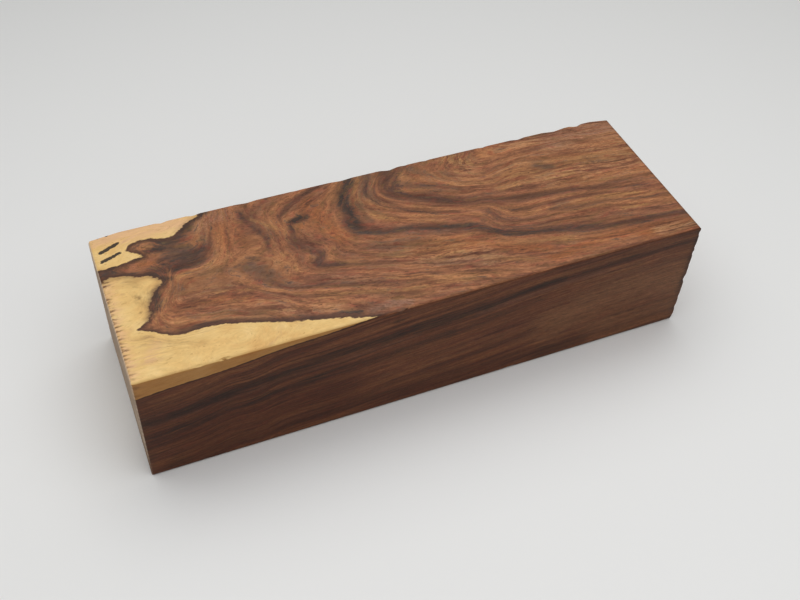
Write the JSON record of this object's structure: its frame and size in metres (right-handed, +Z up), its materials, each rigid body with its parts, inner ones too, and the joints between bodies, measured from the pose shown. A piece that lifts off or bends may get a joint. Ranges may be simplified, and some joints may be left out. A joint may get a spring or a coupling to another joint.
{
  "type": "ironwood block",
  "caption": "Rectangular knife-handle block of desert ironwood, planed on its long faces, rough-sawn on the ends and back, with a corner of pale sapwood.",
  "frame": {"origin": "centre of the flat resting face, at the block's base", "axes": "+X along the length and the grain, away from the sapwood end; +Y across the width, towards the band-sawn back face; +Z up, square to the planed faces"},
  "size_m": [0.1368, 0.0452, 0.0326],
  "materials": {
    "ironwood": "figured brown heartwood with black streaks and a pale sapwood corner, planed and unvarnished"
  },
  "bodies": {
    "root": {"ironwood_block": "ironwood"}
  },
  "joints": []
}
